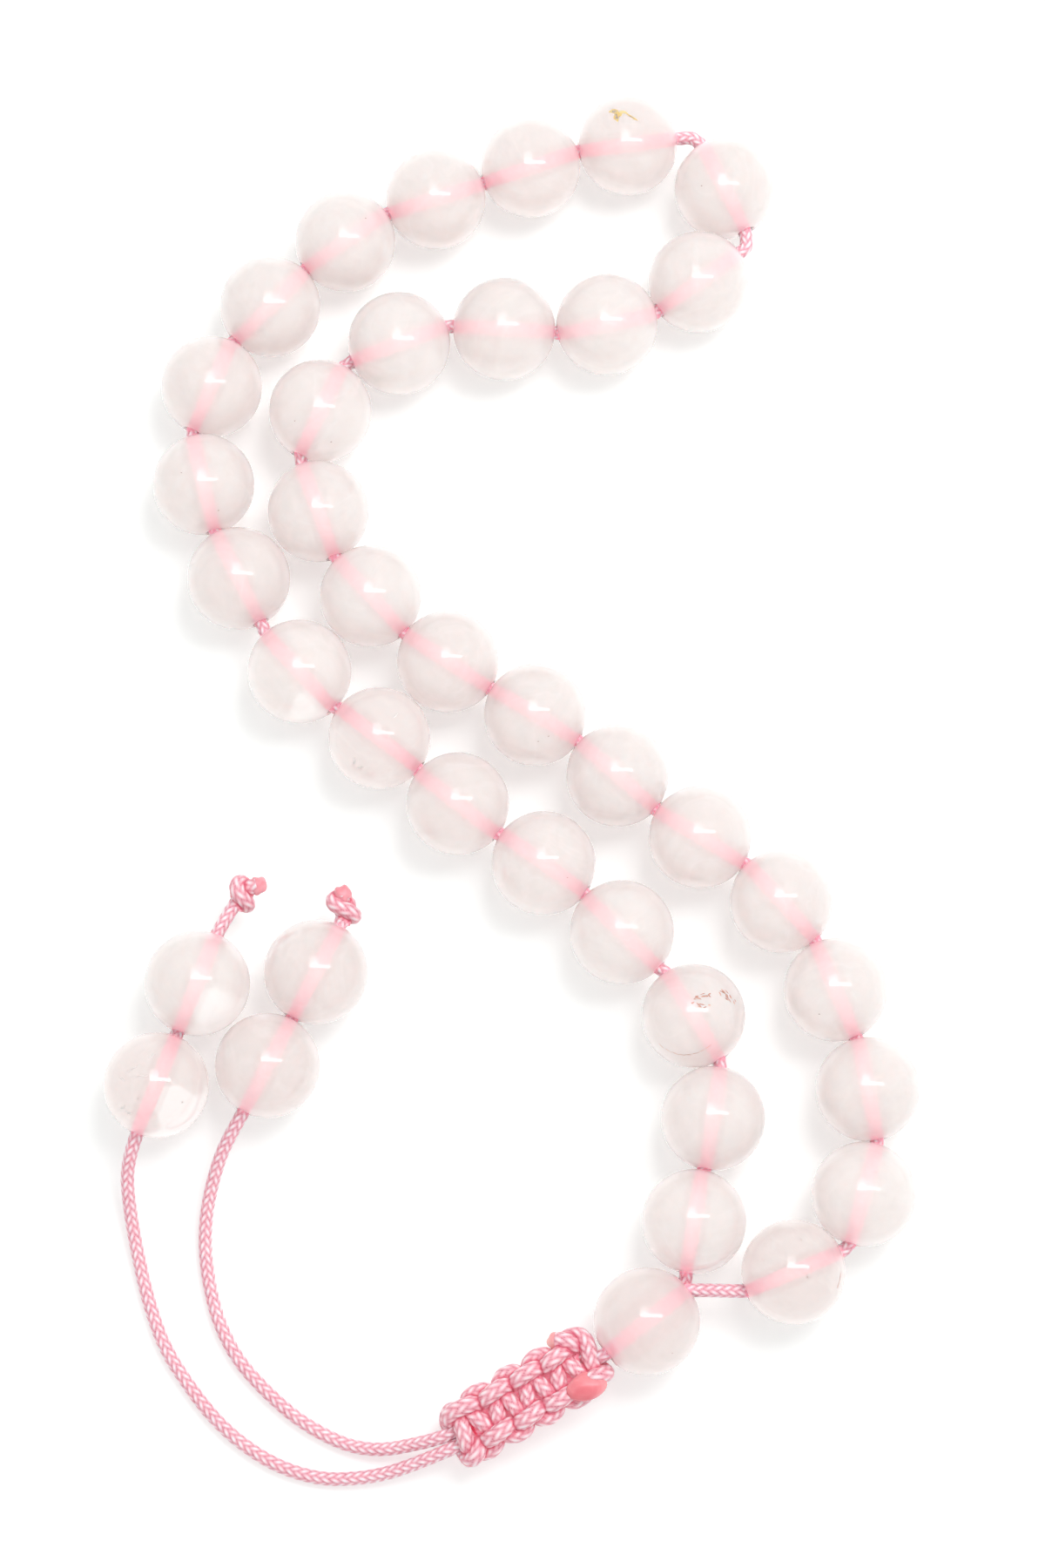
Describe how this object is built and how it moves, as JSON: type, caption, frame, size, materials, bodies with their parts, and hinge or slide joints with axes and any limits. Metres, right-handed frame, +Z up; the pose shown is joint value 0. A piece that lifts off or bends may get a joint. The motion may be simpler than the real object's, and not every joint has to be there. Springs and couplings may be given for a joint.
{
  "type": "prayer bead strand",
  "caption": "Round translucent pink stone beads on a braided cord laid in an S, gathered by a guru bead and a sliding macrame knot into beaded tails, for counting prayers.",
  "frame": {"origin": "on the table, under the middle of the box around the beads and the sliding knot", "axes": "+Z up from the table, +Y from the knot's end of the strand to its top turn, +X to the right as the picture shows it"},
  "size_m": [0.0785, 0.138, 0.0093],
  "materials": {
    "stone": "polished, milky pale pink rose quartz",
    "cord": "braided pink nylon"
  },
  "bodies": {
    "cord": {"strand_cord": "cord", "tail_cord_left": "cord", "tail_cord_right": "cord", "end_knot_left": "cord", "end_knot_right": "cord"},
    "sliding_knot": {"sliding_knot": "cord"},
    "guru_bead": {"guru_bead": "stone"},
    "tail_bead_left_lower": {"tail_bead_left_lower": "stone"},
    "tail_bead_left_upper": {"tail_bead_left_upper": "stone"},
    "tail_bead_right_lower": {"tail_bead_right_lower": "stone"},
    "tail_bead_right_upper": {"tail_bead_right_upper": "stone"},
    "bead_01": {"bead_01": "stone"},
    "bead_02": {"bead_02": "stone"},
    "bead_03": {"bead_03": "stone"},
    "bead_04": {"bead_04": "stone"},
    "bead_05": {"bead_05": "stone"},
    "bead_06": {"bead_06": "stone"},
    "bead_07": {"bead_07": "stone"},
    "bead_08": {"bead_08": "stone"},
    "bead_09": {"bead_09": "stone"},
    "bead_10": {"bead_10": "stone"},
    "bead_11": {"bead_11": "stone"},
    "bead_12": {"bead_12": "stone"},
    "bead_13": {"bead_13": "stone"},
    "bead_14": {"bead_14": "stone"},
    "bead_15": {"bead_15": "stone"},
    "bead_16": {"bead_16": "stone"},
    "bead_17": {"bead_17": "stone"},
    "bead_18": {"bead_18": "stone"},
    "bead_19": {"bead_19": "stone"},
    "bead_20": {"bead_20": "stone"},
    "bead_21": {"bead_21": "stone"},
    "bead_22": {"bead_22": "stone"},
    "bead_23": {"bead_23": "stone"},
    "bead_24": {"bead_24": "stone"},
    "bead_25": {"bead_25": "stone"},
    "bead_26": {"bead_26": "stone"},
    "bead_27": {"bead_27": "stone"},
    "bead_28": {"bead_28": "stone"},
    "bead_29": {"bead_29": "stone"},
    "bead_30": {"bead_30": "stone"},
    "bead_31": {"bead_31": "stone"},
    "bead_32": {"bead_32": "stone"},
    "bead_33": {"bead_33": "stone"}
  },
  "joints": [
    {"name": "sliding_knot_slide", "type": "slide", "parent": "cord", "child": "sliding_knot", "axis": [-0.8658, -0.4939, -0.0802], "range_m": [0, 0.0015]},
    {"name": "guru_bead_turn", "type": "hinge", "parent": "cord", "child": "guru_bead", "pos_m": [0.0129, -0.0546, 0.00465], "axis": [0.788, 0.6157, 0], "continuous": true},
    {"name": "tail_bead_left_lower_turn", "type": "hinge", "parent": "cord", "child": "tail_bead_left_lower", "pos_m": [-0.0343, -0.032, 0.00461], "axis": [0.3583, 0.9336, 0], "continuous": true},
    {"name": "tail_bead_left_upper_turn", "type": "hinge", "parent": "cord", "child": "tail_bead_left_upper", "pos_m": [-0.0305, -0.0221, 0.00461], "axis": [0.3583, 0.9336, 0], "continuous": true},
    {"name": "tail_bead_right_lower_turn", "type": "hinge", "parent": "cord", "child": "tail_bead_right_lower", "pos_m": [-0.0236, -0.0301, 0.00461], "axis": [0.4511, 0.8925, 0], "continuous": true},
    {"name": "tail_bead_right_upper_turn", "type": "hinge", "parent": "cord", "child": "tail_bead_right_upper", "pos_m": [-0.019, -0.021, 0.00461], "axis": [0.4511, 0.8925, 0], "continuous": true},
    {"name": "bead_01_turn", "type": "hinge", "parent": "cord", "child": "bead_01", "pos_m": [0.0175, -0.04512, 0.00461], "axis": [0.1666, 0.986, 0], "continuous": true},
    {"name": "bead_02_turn", "type": "hinge", "parent": "cord", "child": "bead_02", "pos_m": [0.01941, -0.03521, 0.00461], "axis": [0.158, 0.9874, 0], "continuous": true},
    {"name": "bead_03_turn", "type": "hinge", "parent": "cord", "child": "bead_03", "pos_m": [0.01759, -0.02527, 0.00461], "axis": [-0.5182, 0.8553, 0], "continuous": true},
    {"name": "bead_04_turn", "type": "hinge", "parent": "cord", "child": "bead_04", "pos_m": [0.0107, -0.0171, 0.00461], "axis": [-0.7089, 0.7053, 0], "continuous": true},
    {"name": "bead_05_turn", "type": "hinge", "parent": "cord", "child": "bead_05", "pos_m": [0.0031, -0.0103, 0.00461], "axis": [-0.8121, 0.5835, 0], "continuous": true},
    {"name": "bead_06_turn", "type": "hinge", "parent": "cord", "child": "bead_06", "pos_m": [-0.00529, -0.00441, 0.00461], "axis": [-0.7843, 0.6203, 0], "continuous": true},
    {"name": "bead_07_turn", "type": "hinge", "parent": "cord", "child": "bead_07", "pos_m": [-0.01301, 0.00211, 0.00461], "axis": [-0.7899, 0.6133, 0], "continuous": true},
    {"name": "bead_08_turn", "type": "hinge", "parent": "cord", "child": "bead_08", "pos_m": [-0.0209, 0.0088, 0.00461], "axis": [-0.6729, 0.7397, 0], "continuous": true},
    {"name": "bead_09_turn", "type": "hinge", "parent": "cord", "child": "bead_09", "pos_m": [-0.027, 0.0182, 0.00461], "axis": [-0.4462, 0.8949, 0], "continuous": true},
    {"name": "bead_10_turn", "type": "hinge", "parent": "cord", "child": "bead_10", "pos_m": [-0.03061, 0.02776, 0.00461], "axis": [-0.2345, 0.9721, 0], "continuous": true},
    {"name": "bead_11_turn", "type": "hinge", "parent": "cord", "child": "bead_11", "pos_m": [-0.02996, 0.03784, 0.00461], "axis": [0.3797, 0.9251, 0], "continuous": true},
    {"name": "bead_12_turn", "type": "hinge", "parent": "cord", "child": "bead_12", "pos_m": [-0.02421, 0.04614, 0.00461], "axis": [0.6903, 0.7235, 0], "continuous": true},
    {"name": "bead_13_turn", "type": "hinge", "parent": "cord", "child": "bead_13", "pos_m": [-0.01675, 0.05295, 0.00461], "axis": [0.8095, 0.5871, 0], "continuous": true},
    {"name": "bead_14_turn", "type": "hinge", "parent": "cord", "child": "bead_14", "pos_m": [-0.00769, 0.0574, 0.00461], "axis": [0.9493, 0.3145, 0], "continuous": true},
    {"name": "bead_15_turn", "type": "hinge", "parent": "cord", "child": "bead_15", "pos_m": [0.00185, 0.06072, 0.00461], "axis": [0.9435, 0.3313, 0], "continuous": true},
    {"name": "bead_16_turn", "type": "hinge", "parent": "cord", "child": "bead_16", "pos_m": [0.01167, 0.06309, 0.00461], "axis": [0.991, 0.1338, 0], "continuous": true},
    {"name": "bead_17_turn", "type": "hinge", "parent": "cord", "child": "bead_17", "pos_m": [0.0214, 0.0585, 0.00461], "axis": [0.422, -0.9066, 0], "continuous": true},
    {"name": "bead_18_turn", "type": "hinge", "parent": "cord", "child": "bead_18", "pos_m": [0.0187, 0.0487, 0.00461], "axis": [-0.8036, -0.5952, 0], "continuous": true},
    {"name": "bead_19_turn", "type": "hinge", "parent": "cord", "child": "bead_19", "pos_m": [0.0095, 0.0443, 0.00461], "axis": [-0.9775, -0.211, 0], "continuous": true},
    {"name": "bead_20_turn", "type": "hinge", "parent": "cord", "child": "bead_20", "pos_m": [-0.0008, 0.0438, 0.00461], "axis": [-0.9981, 0.0613, 0], "continuous": true},
    {"name": "bead_21_turn", "type": "hinge", "parent": "cord", "child": "bead_21", "pos_m": [-0.0113, 0.0423, 0.00461], "axis": [-0.933, -0.3599, 0], "continuous": true},
    {"name": "bead_22_turn", "type": "hinge", "parent": "cord", "child": "bead_22", "pos_m": [-0.0191, 0.0353, 0.00461], "axis": [-0.4159, -0.9094, 0], "continuous": true},
    {"name": "bead_23_turn", "type": "hinge", "parent": "cord", "child": "bead_23", "pos_m": [-0.01921, 0.02501, 0.00461], "axis": [0.337, -0.9415, 0], "continuous": true},
    {"name": "bead_24_turn", "type": "hinge", "parent": "cord", "child": "bead_24", "pos_m": [-0.01394, 0.0164, 0.00461], "axis": [0.6702, -0.7422, 0], "continuous": true},
    {"name": "bead_25_turn", "type": "hinge", "parent": "cord", "child": "bead_25", "pos_m": [-0.0063, 0.00979, 0.00461], "axis": [0.8351, -0.5501, 0], "continuous": true},
    {"name": "bead_26_turn", "type": "hinge", "parent": "cord", "child": "bead_26", "pos_m": [0.00228, 0.00446, 0.00461], "axis": [0.8525, -0.5228, 0], "continuous": true},
    {"name": "bead_27_turn", "type": "hinge", "parent": "cord", "child": "bead_27", "pos_m": [0.01035, -0.00161, 0.00461], "axis": [0.7439, -0.6683, 0], "continuous": true},
    {"name": "bead_28_turn", "type": "hinge", "parent": "cord", "child": "bead_28", "pos_m": [0.01839, -0.00772, 0.00461], "axis": [0.8501, -0.5266, 0], "continuous": true},
    {"name": "bead_29_turn", "type": "hinge", "parent": "cord", "child": "bead_29", "pos_m": [0.02625, -0.01406, 0.00461], "axis": [0.6611, -0.7503, 0], "continuous": true},
    {"name": "bead_30_turn", "type": "hinge", "parent": "cord", "child": "bead_30", "pos_m": [0.0314, -0.02276, 0.00461], "axis": [0.3793, -0.9253, 0], "continuous": true},
    {"name": "bead_31_turn", "type": "hinge", "parent": "cord", "child": "bead_31", "pos_m": [0.03438, -0.03241, 0.00461], "axis": [0.1765, -0.9843, 0], "continuous": true},
    {"name": "bead_32_turn", "type": "hinge", "parent": "cord", "child": "bead_32", "pos_m": [0.03382, -0.04249, 0.00461], "axis": [-0.2759, -0.9612, 0], "continuous": true},
    {"name": "bead_33_turn", "type": "hinge", "parent": "cord", "child": "bead_33", "pos_m": [0.02698, -0.04992, 0.00461], "axis": [-0.9225, -0.386, 0], "continuous": true}
  ]
}
